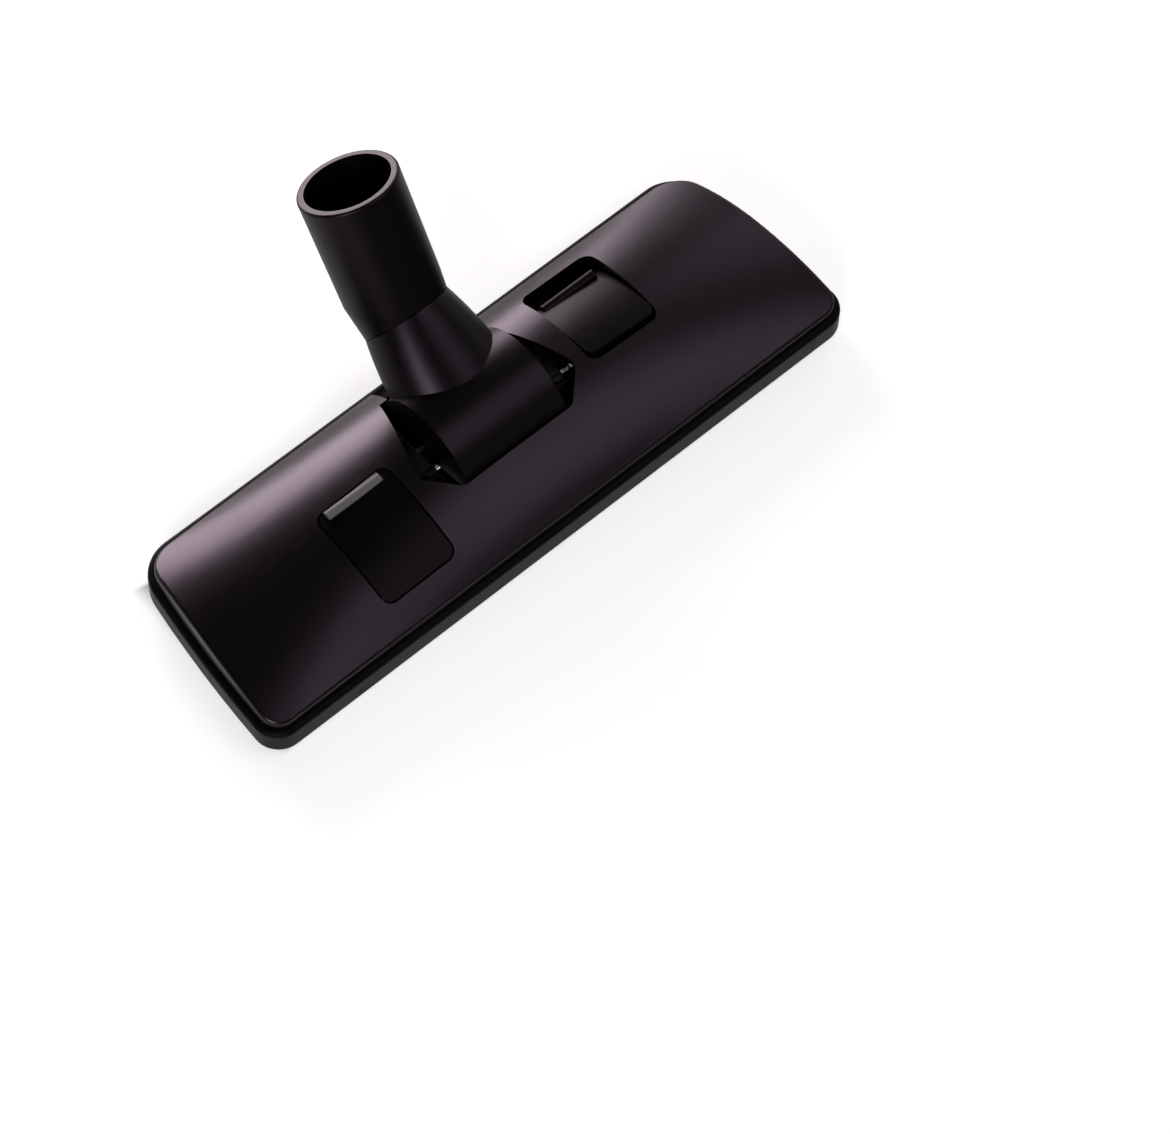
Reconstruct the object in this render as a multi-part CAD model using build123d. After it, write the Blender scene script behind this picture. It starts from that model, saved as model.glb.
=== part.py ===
from build123d import *
import math
import os

# Floor brush head for a vacuum cleaner. Millimetres, +Z up, floor at z = 0.
# +X runs along the head to its right end, -Y is the front edge, +Y the side of the pipe neck.
# The sizes below count y from the middle of the head. At the end every piece moves by one distance,
# so that the origin lies on the floor below the middle of the whole box, neck and tube included.

# Outline of the head, seen from above
front_length = 270
rear_length = 252
depth = 87
side_bulge = 1.8
front_corner = 10
rear_corner = 16

# Soft bumper round the rim
bumper_thickness = 4
bumper_bottom = 3
bumper_top = 15
bumper_round = 2

# Crowned top cover
cover_inset = 2.5
cover_wall = 2.4
crest_height = 35
crest_y = 4
end_crest_height = 24
front_edge_height = 18.5
rear_edge_height = 16.5
cover_edge_round = 1.6
rim_margin = 1
crest_seam_reach = 9
upright_slope = 0.9
level_slope = 0.1
cover_flange = 2
cover_lip_depth = 3.5
cover_lip_wall = 2

# Base tray
tray_wall = 2.3
floor_thickness = 2.4
tunnel_roof_bottom = 6
tunnel_roof = 2
tunnel_front_y = -12.5
tunnel_rear_y = 5
fit_gap = 0.3
overcut = 1

# Pressed sole plate
plate_front_gap = 12
plate_depth = 64
plate_end_gap = 10
edge_notch_width = 9.5
plate_notch_y = -6
plate_sheet = 0.8
plate_emboss = 0.8
plate_corner = 3
pad_corner = 3
pad_end_flat = 0.2
pad_inner_x = 36
pad_end_gap = 3.5
pad_margin = 2.5

# Suction mouth and lint strips
mouth_length = 50.4
mouth_front_y = -18.6
mouth_rear_y = 9.2
lint_length = 60
lint_depth = 11.2
lint_bottom = 0.3

# Brush slots and strips
front_slot_y = -19
front_slot_width = 6.5
front_slot_inner_x = 30.5
front_slot_end_gap = 3
rear_slot_y = 11
rear_slot_width = 5.2
rear_slot_inner_x = 37
rear_slot_end_gap = 6.5
brush_gap = 0.5
brush_bar_height = 3.6
tuft_tip = 0.9
tuft_length = 2.6
tuft_pitch = 4.3
tuft_inset = 0.9

# Brush carrier, which rises and falls above the tray floor
carrier_bottom = 10.6
carrier_rail_height = 3
carrier_rail_overhang = 1
carrier_tie_clearance = 0.3
carrier_tie_height = 3
carrier_tie_width = 5
inner_tie_x = 82.5
outer_tie_x = 105.5
carrier_bar_front_y = -33
carrier_bar_rear_y = -27.5
carrier_bar_reach = 45
guide_post_diameter = 5
guide_post_y = -4
guide_post_top = 21
guide_clearance = 0.2
guide_eye_wall = 2.2
guide_eye_height = 5
fork_inner_x = 33.5
fork_width = 4.5
fork_wall = 1.4
fork_rear_y = -23

# Twin rocker pedal
paddle_inner_x = 42
paddle_width = 31
paddle_length = 39
right_paddle_length = 33
left_paddle_front_y = -31
right_paddle_front_y = -7
paddle_corner = 3.5
paddle_gap = 0.7
paddle_skin = 4
bead_radius = 2.2
bead_proud = 1.1
pivot_y = 0.5
pivot_drop = 9
rocker_angle = 12
ear_radius = 4.5
ear_width = 4
pin_diameter = 3
lug_gap = 0.8
lug_width = 4
rocker_bar_y = -31.5
rocker_bar_drop = 9
rocker_bar_diameter = 4
arm_width = 4
arm_drop = 2.4
inner_arm_inset = 7
outer_arm_inset = 9

# Detent leaf that holds the rocker in its two positions
leaf_thickness = 0.6
leaf_height = 5
leaf_gap = 2.8
leaf_front_y = -24
leaf_rear_y = -8
nose_y = -20
nose_drop = 9.5
nose_diameter = 2.4
nose_depth = 0.7
dimple_clearance = 0.3
leaf_post_wall = 1.6
leaf_post_length = 5

# Sole screws
screw_x = 91.5
screw_y = 0
screw_diameter = 4
screw_head_diameter = 7
screw_head_recess = 0.1
screw_length = 20
screw_clearance = 0.1
boss_diameter = 9
recess_width = 1
recess_depth = 0.7
screw_seat_margin = 2

# Tilting neck
neck_y = 7
neck_z = 20
drum_radius = 24
drum_wall = 2.5
drum_half_width = 23
drum_front_angle = 165
drum_rear_angle = -32
trunnion_diameter = 10
trunnion_end_x = 32
bearing_gap = 0.1
neck_root_radius = 18
neck_root_half_width = 22.6
neck_shoulder_half_width = 22.2
neck_shoulder_reach = 20
neck_radius = 17.2
neck_bore_radius = 14.5
neck_lean = 57
neck_reach = 45.5

# Chamber round the drum, with its bearings and wipers
chamber_half_width = 24.5
chamber_wall = 2
chamber_front_y = -21
chamber_rear_y = 31.6
chamber_front_top = 22
chamber_rear_top = 9.5
chamber_side_top = 22
chamber_slope_y = 12
bearing_front_x = 27
bearing_half_depth = 12
bearing_height = 7.5
cap_screw_offset = 8.5
cap_screw_diameter = 2.6
cap_screw_length = 13
cap_screw_head = 5
cap_screw_head_height = 1.8
wiper_gap = 0.3
wiper_height = 2

# Window for the neck in the cover
window_front_y = -15.6
window_front_half = 25
window_wide_y = -4
window_wide_half = 36.5
window_rear_y = 31.6
window_rear_half = 24.3
window_notch_gap = 3.4
window_corner = 5

# Swivel tube and its joint
tube_lean = 29
tube_bend_reach = 12
tube_length = 46
tube_foot_radius = 18.4
tube_end_radius = 18.9
tube_bore_radius = 16.1
tube_socket_depth = 36
tube_throat_radius = 13
throat_reach = 14
tube_end_round = 1
seam_gap = 0.3
spigot_length = 7
spigot_radius = 14.8
clip_place = 5
clip_width = 1.2
clip_depth = 0.8
clip_gap = 6
seal_place = 2.2
seal_radius = 0.7

# Worked-out places
front_y = -depth / 2
rear_y = depth / 2
plate_front_length = front_length - 2 * plate_end_gap
plate_rear_length = plate_front_length - 2 * edge_notch_width
plate_front_y = front_y + plate_front_gap
plate_rear_y = plate_front_y + plate_depth
plate_top = plate_emboss + plate_sheet
pad_outer_x = plate_rear_length / 2 - pad_end_gap
front_slot_outer_x = plate_front_length / 2 - front_slot_end_gap
rear_slot_outer_x = plate_rear_length / 2 - rear_slot_end_gap
floor_top = plate_top + floor_thickness
tunnel_top = tunnel_roof_bottom + tunnel_roof
cover_seat = bumper_top
tray_inset = bumper_thickness
lip_inset = tray_inset + tray_wall + fit_gap
carrier_top = carrier_bottom + carrier_rail_height
paddle_middle_x = paddle_inner_x + paddle_width / 2
paddle_outer_x = paddle_inner_x + paddle_width
ear_x = paddle_outer_x - ear_width / 2 - paddle_gap
lug_x = paddle_outer_x + lug_gap + lug_width / 2
arm_inner_x = paddle_inner_x + inner_arm_inset
arm_outer_x = paddle_outer_x - outer_arm_inset
pivot_z = crest_height - pivot_drop
rocker_bar_z = pivot_z - rocker_bar_drop
nose_z = pivot_z - nose_drop
pivot = Axis((0, pivot_y, pivot_z), (1, 0, 0))
bar_run_y = rocker_bar_y - pivot_y
bar_run_z = rocker_bar_z - pivot_z
rocker_turn = math.radians(rocker_angle)
brush_travel = bar_run_z - bar_run_y * math.sin(rocker_turn) - bar_run_z * math.cos(rocker_turn)
tie_bottom = tunnel_top + brush_travel + carrier_tie_clearance
tie_top = tie_bottom + carrier_tie_height
neck_way = Vector(0, math.sin(math.radians(neck_lean)), math.cos(math.radians(neck_lean)))
neck_root = Vector(0, neck_y, neck_z)
swivel_frame = Plane(origin=neck_root + neck_way * neck_reach, x_dir=(1, 0, 0), z_dir=neck_way)
tube_way = Vector(0, math.sin(math.radians(tube_lean)), math.cos(math.radians(tube_lean)))
tube_foot = swivel_frame.origin + (neck_way + tube_way) * (tube_bend_reach / 2)
tube_frame = Plane(origin=tube_foot, x_dir=(1, 0, 0), z_dir=tube_way)
arm_face_x = arm_inner_x - arm_width / 2
leaf_x = arm_face_x - leaf_gap - leaf_thickness


def block(xs, ys, zs):
    """Box between two limits on each axis."""
    middle = [(low + high) / 2 for low, high in (xs, ys, zs)]
    size = [high - low for low, high in (xs, ys, zs)]
    return Pos(*middle) * Box(*size)


def rounded(xs, ys, zs, radius):
    """Box with its upright edges rounded."""
    shape = block(xs, ys, zs)
    return fillet(shape.edges().filter_by(Axis.Z), radius)


def post(x, y, zs, diameter):
    """Upright cylinder between two heights."""
    low, high = zs
    return Pos(x, y, (low + high) / 2) * Cylinder(diameter / 2, high - low)


def rod(xs, y, z, diameter):
    """Cylinder along the head between two x limits."""
    low, high = xs
    return Pos((low + high) / 2, y, z) * Rot(0, 90, 0) * Cylinder(diameter / 2, high - low)


def profile(points, xs):
    """Outline in the y-z plane, run along the head between two x limits."""
    low, high = xs
    face = make_face(Polyline(*points, close=True))
    return extrude(Plane.YZ.offset(low) * face, amount=high - low)


def both_sides(shape):
    """A shape and its mirror image on the other half of the head."""
    return shape + mirror(shape, about=Plane.YZ)


def outline(inset):
    """Rounded outline of the head, moved inwards."""
    taper = math.atan2((front_length - rear_length) / 2, depth)
    low = front_y + inset
    high = rear_y - inset

    def half(y):
        return front_length / 2 - (y - front_y) * math.tan(taper) - inset / math.cos(taper)

    middle = (half(0) + side_bulge, 0)
    right = ThreePointArc((half(low), low), middle, (half(high), high))
    left = mirror(right, about=Plane.YZ)
    front = Line((-half(low), low), (half(low), low))
    rear = Line((-half(high), high), (half(high), high))
    face = make_face([front, right, rear, left])
    face = fillet(face.vertices().sort_by(Axis.Y)[-2:], max(rear_corner - inset, 1))
    return fillet(face.vertices().sort_by(Axis.Y)[:2], max(front_corner - inset, 1))


def slab(inset, zs):
    """Upright prism of the head's outline."""
    low, high = zs
    return extrude(Pos(0, 0, low) * outline(inset), amount=high - low)


def ring(inset, wall, zs):
    """Upright wall that follows the head's outline."""
    return slab(inset, zs) - slab(inset + wall, zs)


def crown_section(x, crest, sink):
    """Cross-section under the cover's top, moved inwards by sink."""
    front = front_y + cover_inset + sink
    rear = rear_y - cover_inset - sink
    top = (crest_y, crest - sink)
    front_top = (front, front_edge_height - sink)
    rear_top = (rear, rear_edge_height - sink)
    foot = cover_seat - 2 * cover_wall
    edges = [
        Line((front, foot), front_top),
        TangentArc(top, front_top, tangent=(-1, 0)),
        TangentArc(top, rear_top, tangent=(1, 0)),
        Line(rear_top, (rear, foot)),
        Line((rear, foot), (front, foot)),
    ]
    return Plane.YZ.offset(x) * make_face(edges)


def crown(sink):
    """Solid below the cover's crowned top, moved inwards by sink."""
    reach = front_length / 2
    sections = [
        crown_section(-reach, end_crest_height, sink),
        crown_section(0, crest_height, sink),
        crown_section(reach, end_crest_height, sink),
    ]
    return loft(sections)


def paddle_prism(x_sign, low_y, length, grow):
    """Upright prism of one paddle's place, grown all round."""
    middle_x = x_sign * paddle_middle_x
    middle_y = low_y + length / 2
    face = RectangleRounded(paddle_width + 2 * grow, length + 2 * grow, paddle_corner + grow)
    return extrude(Pos(middle_x, middle_y, cover_seat) * face, amount=crest_height)


def neck_window():
    """Prism of the cover's window: wide beside the bearings, drawn in along the drum, open to the rear."""
    low = cover_seat - cover_lip_depth - overcut
    notch = neck_radius + window_notch_gap
    right = [
        (window_front_half, window_front_y),
        (window_wide_half, window_wide_y),
        (window_rear_half, window_rear_y),
        (notch, window_rear_y),
        (notch, depth),
    ]
    left = [(-x, y) for x, y in reversed(right)]
    face = make_face(Polyline(*right, *left, close=True))
    face = fillet([corner for corner in face.vertices() if corner.Y < 0], window_corner)
    return extrude(Pos(0, 0, low) * face, amount=2 * crest_height)


def top_cover():
    """Crowned moulding with windows for the neck and both paddles."""
    tall = (cover_seat, 2 * crest_height)
    outer = crown(0) & slab(cover_inset, tall)
    rim = []
    for edge in outer.edges():
        place = edge.center()
        beside_crest = abs(place.Y - crest_y) > rim_margin
        upright = abs(edge.tangent_at(0.5).Z) > upright_slope
        if beside_crest and place.Z > cover_seat + rim_margin and not upright:
            rim.append(edge)
        if not beside_crest and abs(place.X) > crest_seam_reach:
            rim.append(edge)
    outer = fillet(rim, cover_edge_round)
    inner = crown(cover_wall) & slab(cover_inset + cover_wall, tall)
    shell = outer - inner
    flange_inset = cover_inset + cover_wall / 2
    flange_width = lip_inset + cover_lip_wall - flange_inset
    shell += ring(flange_inset, flange_width, (cover_seat, cover_seat + cover_flange))
    shell += ring(lip_inset, cover_lip_wall, (cover_seat - cover_lip_depth, cover_seat + cover_flange))
    boss = post(screw_x, screw_y, (tunnel_top, crest_height), boss_diameter)
    lug_zs = (pivot_z - ear_radius, crest_height)
    lug_ys = (pivot_y - ear_radius, pivot_y + ear_radius)
    lug = block((lug_x - lug_width / 2, lug_x + lug_width / 2), lug_ys, lug_zs)
    hung = both_sides(boss + lug) & crown(cover_wall / 2)
    shell += hung
    drill = post(screw_x, screw_y, (0, screw_length + overcut), screw_diameter)
    pin_run = (ear_x - ear_width / 2, lug_x + lug_width / 2)
    shell -= both_sides(drill)
    shell -= both_sides(rod(pin_run, pivot_y, pivot_z, pin_diameter))
    shell -= neck_window()
    shell -= paddle_prism(-1, left_paddle_front_y, paddle_length, paddle_gap)
    shell -= paddle_prism(1, right_paddle_front_y, paddle_length, paddle_gap)
    return shell


def bumper_strip():
    """Soft guard pressed on round the tray's wall."""
    outer = slab(0, (bumper_bottom, bumper_top))
    edges = outer.edges().filter_by(lambda edge: abs(edge.tangent_at(0.5).Z) < level_slope)
    outer = fillet(edges, bumper_round)
    return outer - slab(bumper_thickness, (bumper_bottom, bumper_top))


def plate_outline(zs):
    """Outline of the sole plate: a wide front band and a narrower rear part."""
    front_half = plate_front_length / 2
    rear_half = plate_rear_length / 2
    front = block((-front_half, front_half), (plate_front_y, plate_notch_y), zs)
    return front + block((-rear_half, rear_half), (plate_front_y, plate_rear_y), zs)


def front_slots(grow, zs):
    """Pair of front brush slots, grown all round."""
    half = front_slot_width / 2 + grow
    ys = (front_slot_y - half, front_slot_y + half)
    return both_sides(block((front_slot_inner_x - grow, front_slot_outer_x + grow), ys, zs))


def rear_slots(grow, zs):
    """Pair of rear brush slots, grown all round."""
    half = rear_slot_width / 2 + grow
    ys = (rear_slot_y - half, rear_slot_y + half)
    return both_sides(block((rear_slot_inner_x - grow, rear_slot_outer_x + grow), ys, zs))


def mouth(zs):
    """Suction mouth below the drum."""
    return block((-mouth_length / 2, mouth_length / 2), (mouth_front_y, mouth_rear_y), zs)


def plate_pads():
    """Places on the plate that are pressed down towards the floor."""
    front_slot_low = front_slot_y - front_slot_width / 2
    front_slot_high = front_slot_y + front_slot_width / 2
    rear_slot_low = rear_slot_y - rear_slot_width / 2
    rear_slot_high = rear_slot_y + rear_slot_width / 2
    land_x = (pad_inner_x, pad_outer_x)
    middle = (front_slot_high + pad_margin, rear_slot_low - pad_margin)
    rear = (rear_slot_high + pad_margin, plate_rear_y - pad_margin / 2)
    front = (plate_front_y + pad_margin / 2, front_slot_low - pad_margin / 2)
    return [(land_x, middle), (land_x, rear), ((front_slot_inner_x, front_slot_outer_x), front)]


def sole_plate():
    """Pressed steel sheet with embossed runners, brush slots and the suction mouth."""
    plate = plate_outline((plate_emboss, plate_top))
    plate = fillet(plate.edges().filter_by(Axis.Z), plate_corner)
    for xs, ys in plate_pads():
        inner_xs = (xs[0] + plate_sheet, xs[1] - plate_sheet)
        inner_ys = (ys[0] + plate_sheet, ys[1] - plate_sheet)
        corner = min(pad_corner, (ys[1] - ys[0] - pad_end_flat) / 2)
        plate += both_sides(rounded(xs, ys, (0, plate_emboss), corner))
        dip = rounded(inner_xs, inner_ys, (plate_sheet, plate_top), pad_corner - plate_sheet)
        seat = post(screw_x, screw_y, (plate_sheet, plate_top), screw_head_diameter + 2 * screw_seat_margin)
        plate -= both_sides(dip - seat)
    low_screw = Cone(
        screw_head_diameter / 2 + screw_clearance,
        screw_diameter / 2 + screw_clearance,
        plate_top,
    )
    plate -= both_sides(Pos(screw_x, screw_y, plate_top / 2) * low_screw)
    cut = (-overcut, plate_top + overcut)
    plate -= front_slots(0, cut)
    plate -= rear_slots(0, cut)
    plate -= mouth(cut)
    half = lint_length / 2 + fit_gap
    plate -= block((-half, half), (plate_front_y - overcut, plate_front_y + lint_depth + fit_gap), cut)
    plate -= block((-half, half), (plate_rear_y - lint_depth - fit_gap, plate_rear_y + overcut), cut)
    return plate


def lint_strip(low_y):
    """Velvet pile strip on its backing, bonded to the tray floor."""
    half = lint_length / 2
    strip = block((-half, half), (low_y, low_y + lint_depth), (lint_bottom, plate_top))
    edges = strip.edges().group_by(Axis.Z)[0]
    return chamfer(edges, lint_bottom)


def tunnel(grow, zs):
    """Edge suction channel from the side notch to the mouth."""
    side_low = plate_rear_length / 2 + fit_gap
    side_high = plate_front_length / 2
    along = block(
        (chamber_half_width + chamber_wall - grow, side_high + grow),
        (tunnel_front_y - grow, tunnel_rear_y + grow),
        zs,
    )
    beside = block(
        (side_low - grow, side_high + grow), (tunnel_front_y - grow, plate_rear_y - overcut + grow), zs
    )
    return both_sides(along + beside)


def chamber():
    """Walls of the suction chamber round the drum."""
    out_x = chamber_half_width + chamber_wall
    low = chamber_front_y - chamber_wall
    high = chamber_rear_y + chamber_wall
    foot = plate_top
    side = [
        (low, foot),
        (low, chamber_front_top),
        (chamber_front_y, chamber_front_top),
        (chamber_front_y + chamber_wall, chamber_side_top),
        (chamber_slope_y, chamber_side_top),
        (chamber_rear_y, chamber_rear_top),
        (high, chamber_rear_top),
        (high, foot),
    ]
    walls = profile(side, (-out_x, out_x))
    inside_zs = (0, 2 * crest_height)
    walls -= block((-chamber_half_width, chamber_half_width), (chamber_front_y, chamber_rear_y), inside_zs)
    return walls


def bearing_block(zs):
    """Seat that holds one trunnion of the neck, below or above its axis."""
    ys = (neck_y - bearing_half_depth, neck_y + bearing_half_depth)
    shape = block((bearing_front_x, trunnion_end_x), ys, zs)
    run = (bearing_front_x - overcut, trunnion_end_x + overcut)
    return shape - rod(run, neck_y, neck_z, trunnion_diameter + 2 * bearing_gap)


def cap_screw_places():
    """Middles of the two screws in one bearing cap."""
    middle_x = (bearing_front_x + trunnion_end_x) / 2
    return [(middle_x, neck_y + way * cap_screw_offset) for way in (-1, 1)]


def base_tray():
    """Lower moulding: rim wall, floor, edge channels, neck chamber, bearings and guides."""
    tray = slab(tray_inset, (plate_top, floor_top))
    tray += ring(tray_inset, tray_wall, (plate_top, cover_seat))
    tall = (0, crest_height)
    tray += tunnel(tunnel_roof, (plate_top, tunnel_top)) & slab(tray_inset, tall)
    tray -= tunnel(0, (plate_top - overcut, tunnel_roof_bottom)) & slab(tray_inset + tray_wall, tall)
    tray += chamber()
    tray -= mouth((0, floor_top + tunnel_roof_bottom))
    tray -= front_slots(0, (0, floor_top + overcut))
    tray -= rear_slots(0, (0, floor_top + overcut))
    trunnion_slot = trunnion_diameter + 2 * bearing_gap
    slot_ys = (neck_y - trunnion_slot / 2, neck_y + trunnion_slot / 2)
    slot_xs = (chamber_half_width - overcut, chamber_half_width + chamber_wall + overcut)
    cut = block(slot_xs, slot_ys, (neck_z, crest_height)) + rod(slot_xs, neck_y, neck_z, trunnion_slot)
    tray -= both_sides(cut)
    tray += both_sides(bearing_block((plate_top, neck_z)))
    for x, y in cap_screw_places():
        hole_zs = (neck_z + bearing_height - cap_screw_length, neck_z + overcut)
        tray -= both_sides(post(x, y, hole_zs, cap_screw_diameter))
    tray += both_sides(post(screw_x, screw_y, (plate_top, tunnel_top), boss_diameter))
    tray -= both_sides(post(screw_x, screw_y, (0, tunnel_top + overcut), screw_diameter + 2 * screw_clearance))
    tray += both_sides(post(inner_tie_x, guide_post_y, (tunnel_roof_bottom, guide_post_top), guide_post_diameter))
    leaf_back = leaf_x + leaf_thickness
    post_xs = (leaf_x - leaf_post_wall, leaf_back + leaf_post_wall)
    post_ys = (leaf_rear_y - leaf_post_length, leaf_rear_y)
    leaf_zs = (nose_z - leaf_height / 2, nose_z + leaf_height / 2)
    tray += block(post_xs, post_ys, (tunnel_roof_bottom, leaf_zs[1]))
    tray -= block((leaf_x, leaf_back), (post_ys[0] - overcut, post_ys[1] + overcut), (leaf_zs[0], crest_height))
    return tray


def bearing_cap():
    """Cap over one trunnion, screwed down on the tray's bearing seat."""
    cap = bearing_block((neck_z, neck_z + bearing_height))
    for x, y in cap_screw_places():
        cap -= post(x, y, (neck_z - overcut, crest_height), cap_screw_diameter + 2 * screw_clearance)
    return cap


def cap_screws():
    """Four small pan-head screws through the bearing caps."""
    top = neck_z + bearing_height
    pair = []
    for x, y in cap_screw_places():
        shank = post(x, y, (top - cap_screw_length + overcut, top), cap_screw_diameter)
        head = post(x, y, (top, top + cap_screw_head_height), cap_screw_head)
        slot = block(
            (x - cap_screw_head, x + cap_screw_head),
            (y - recess_width / 2, y + recess_width / 2),
            (top + cap_screw_head_height - recess_depth, top + 2 * cap_screw_head_height),
        )
        pair.append(shank + head - slot)
    return Compound(pair + [mirror(screw, about=Plane.YZ) for screw in pair])


def sole_screws():
    """Two countersunk cross-head screws that clamp plate, tray and cover."""
    head = Cone(screw_head_diameter / 2, screw_diameter / 2, plate_top - screw_head_recess)
    head = Pos(screw_x, screw_y, (plate_top + screw_head_recess) / 2) * head
    screw = head + post(screw_x, screw_y, (plate_top, screw_length), screw_diameter)
    half_recess = recess_width / 2
    arm = screw_head_diameter / 4
    low = (screw_head_recess - overcut, screw_head_recess + recess_depth)
    screw -= block((screw_x - arm, screw_x + arm), (screw_y - half_recess, screw_y + half_recess), low)
    screw -= block((screw_x - half_recess, screw_x + half_recess), (screw_y - arm, screw_y + arm), low)
    return Compound([screw, mirror(screw, about=Plane.YZ)])


def paddle(x_sign, low_y, length):
    """One foot paddle, flush with the cover's top, with a bead along its rear edge."""
    place = paddle_prism(x_sign, low_y, length, 0)
    shape = (crown(0) - crown(paddle_skin)) & place
    bead_y = low_y + length - bead_radius
    x_low = paddle_inner_x + paddle_corner
    x_high = paddle_outer_x - paddle_corner
    probe_xs = (paddle_middle_x - bead_radius, paddle_middle_x + bead_radius)
    probe_ys = (bead_y - bead_radius, bead_y + bead_radius)
    top = crown(0) & block(probe_xs, probe_ys, (cover_seat, 2 * crest_height))
    bead_z = top.bounding_box().max.Z + bead_proud - bead_radius
    bead = rod((x_low, x_high), bead_y, bead_z, 2 * bead_radius)
    if x_sign < 0:
        bead = mirror(bead, about=Plane.YZ)
    return shape + bead


def hinged(x_sign, low_y, length):
    """One paddle with its hinge ear, drilled for the pin."""
    xs = sorted(x_sign * x for x in (ear_x - ear_width / 2, ear_x + ear_width / 2))
    ear = rod(xs, pivot_y, pivot_z, 2 * ear_radius)
    ear += block(xs, (pivot_y - ear_radius, pivot_y + ear_radius), (pivot_z, crest_height))
    ear &= crown(paddle_skin / 2)
    hole = rod(xs, pivot_y, pivot_z, pin_diameter + 2 * bearing_gap)
    return (paddle(x_sign, low_y, length) - hole) + (ear - hole)


def rocker_arm(xs):
    """Arm from the cross bar back to the right paddle."""
    half_bar = rocker_bar_diameter / 2
    arm = [
        (rocker_bar_y - half_bar, rocker_bar_z - half_bar),
        (rocker_bar_y - half_bar, rocker_bar_z + half_bar),
        (pivot_y - ear_radius, pivot_z + ear_radius / 2),
        (pivot_y + ear_radius, pivot_z + ear_radius / 2),
        (pivot_y + ear_radius, pivot_z - ear_radius),
        (nose_y, nose_z - arm_drop),
    ]
    return profile(arm, xs)


def rocker_pedal():
    """Both paddles, joined by a cross bar that runs in front of the neck's chamber."""
    left = hinged(-1, left_paddle_front_y, paddle_length)
    right = hinged(1, right_paddle_front_y, right_paddle_length).rotate(pivot, -rocker_angle)
    bar_run = (-arm_outer_x - arm_width / 2, arm_outer_x + arm_width / 2)
    rocker = rod(bar_run, rocker_bar_y, rocker_bar_z, rocker_bar_diameter)
    rib_ys = (left_paddle_front_y, left_paddle_front_y + arm_width)
    dimple_run = (arm_face_x - overcut, arm_face_x + nose_depth + dimple_clearance)
    dimple = rod(dimple_run, nose_y, nose_z, nose_diameter + 2 * dimple_clearance)
    for x in (arm_inner_x, arm_outer_x):
        xs = (x - arm_width / 2, x + arm_width / 2)
        rib = block((-xs[1], -xs[0]), rib_ys, (rocker_bar_z, crest_height))
        rocker += rib & crown(paddle_skin / 2)
        arm = rocker_arm(xs)
        if x == arm_inner_x:
            arm -= dimple
            arm -= dimple.rotate(pivot, -rocker_angle)
        rocker += arm
    rocker += left
    rocker += right
    return rocker


def rocker_pins():
    """Two steel pins pressed into the cover's lugs."""
    run = (ear_x - ear_width / 2, lug_x + lug_width / 2)
    pin = rod(run, pivot_y, pivot_z, pin_diameter)
    return Compound([pin, mirror(pin, about=Plane.YZ)])


def detent_spring():
    """Steel leaf with a pressed nose that sits in the rocker's dimples."""
    leaf = block(
        (leaf_x, leaf_x + leaf_thickness),
        (leaf_front_y, leaf_rear_y),
        (nose_z - leaf_height / 2, nose_z + leaf_height / 2),
    )
    nose = rod((leaf_x, arm_face_x + nose_depth), nose_y, nose_z, nose_diameter)
    nose = chamfer(nose.edges().sort_by(Axis.X)[-1], nose_depth / 2)
    return leaf + nose


def brush_carrier():
    """Frame that carries the four brush strips and rides on two guide posts."""
    rail_zs = (carrier_bottom, carrier_top)
    front = front_slots(carrier_rail_overhang, rail_zs)
    rear = rear_slots(carrier_rail_overhang, rail_zs)
    bar = block(
        (-carrier_bar_reach, carrier_bar_reach), (carrier_bar_front_y, carrier_bar_rear_y), rail_zs
    )
    frame = front + rear + bar
    low = front_slot_y - front_slot_width / 2 - carrier_rail_overhang
    high = rear_slot_y + rear_slot_width / 2 + carrier_rail_overhang
    inner = front_slot_inner_x - carrier_rail_overhang
    frame += both_sides(block((inner, carrier_bar_reach), (carrier_bar_front_y, front_slot_y), rail_zs))
    for x in (inner_tie_x, outer_tie_x):
        xs = (x - carrier_tie_width / 2, x + carrier_tie_width / 2)
        tie = block(xs, (low, high), (carrier_bottom, tie_top))
        front_clear = front_slot_y + front_slot_width / 2 + carrier_rail_overhang
        rear_clear = rear_slot_y - rear_slot_width / 2 - carrier_rail_overhang
        tie -= block((0, front_length), (front_clear, rear_clear), (0, tie_bottom))
        frame += both_sides(tie)
    eye = guide_post_diameter + 2 * guide_clearance
    eye_zs = (tie_bottom, tie_bottom + guide_eye_height)
    frame += both_sides(post(inner_tie_x, guide_post_y, eye_zs, eye + 2 * guide_eye_wall))
    frame -= both_sides(post(inner_tie_x, guide_post_y, (0, crest_height), eye))
    half_bar = rocker_bar_diameter / 2 + guide_clearance
    fork_xs = (fork_inner_x, fork_inner_x + fork_width)
    fork_top = rocker_bar_z + half_bar + fork_wall
    fork = block(fork_xs, (rocker_bar_y - half_bar, fork_rear_y), (carrier_bottom, fork_top))
    slot_rear = rocker_bar_y + half_bar + bar_run_y * (math.cos(rocker_turn) - 1)
    slot_rear -= bar_run_z * math.sin(rocker_turn)
    slot_zs = (rocker_bar_z - half_bar, rocker_bar_z + half_bar)
    fork -= block(fork_xs, (rocker_bar_y - 2 * half_bar, slot_rear), slot_zs)
    fork -= block(fork_xs, (rocker_bar_y - 2 * half_bar, rocker_bar_y), (rocker_bar_z, crest_height))
    frame += both_sides(fork)
    return frame


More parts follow.
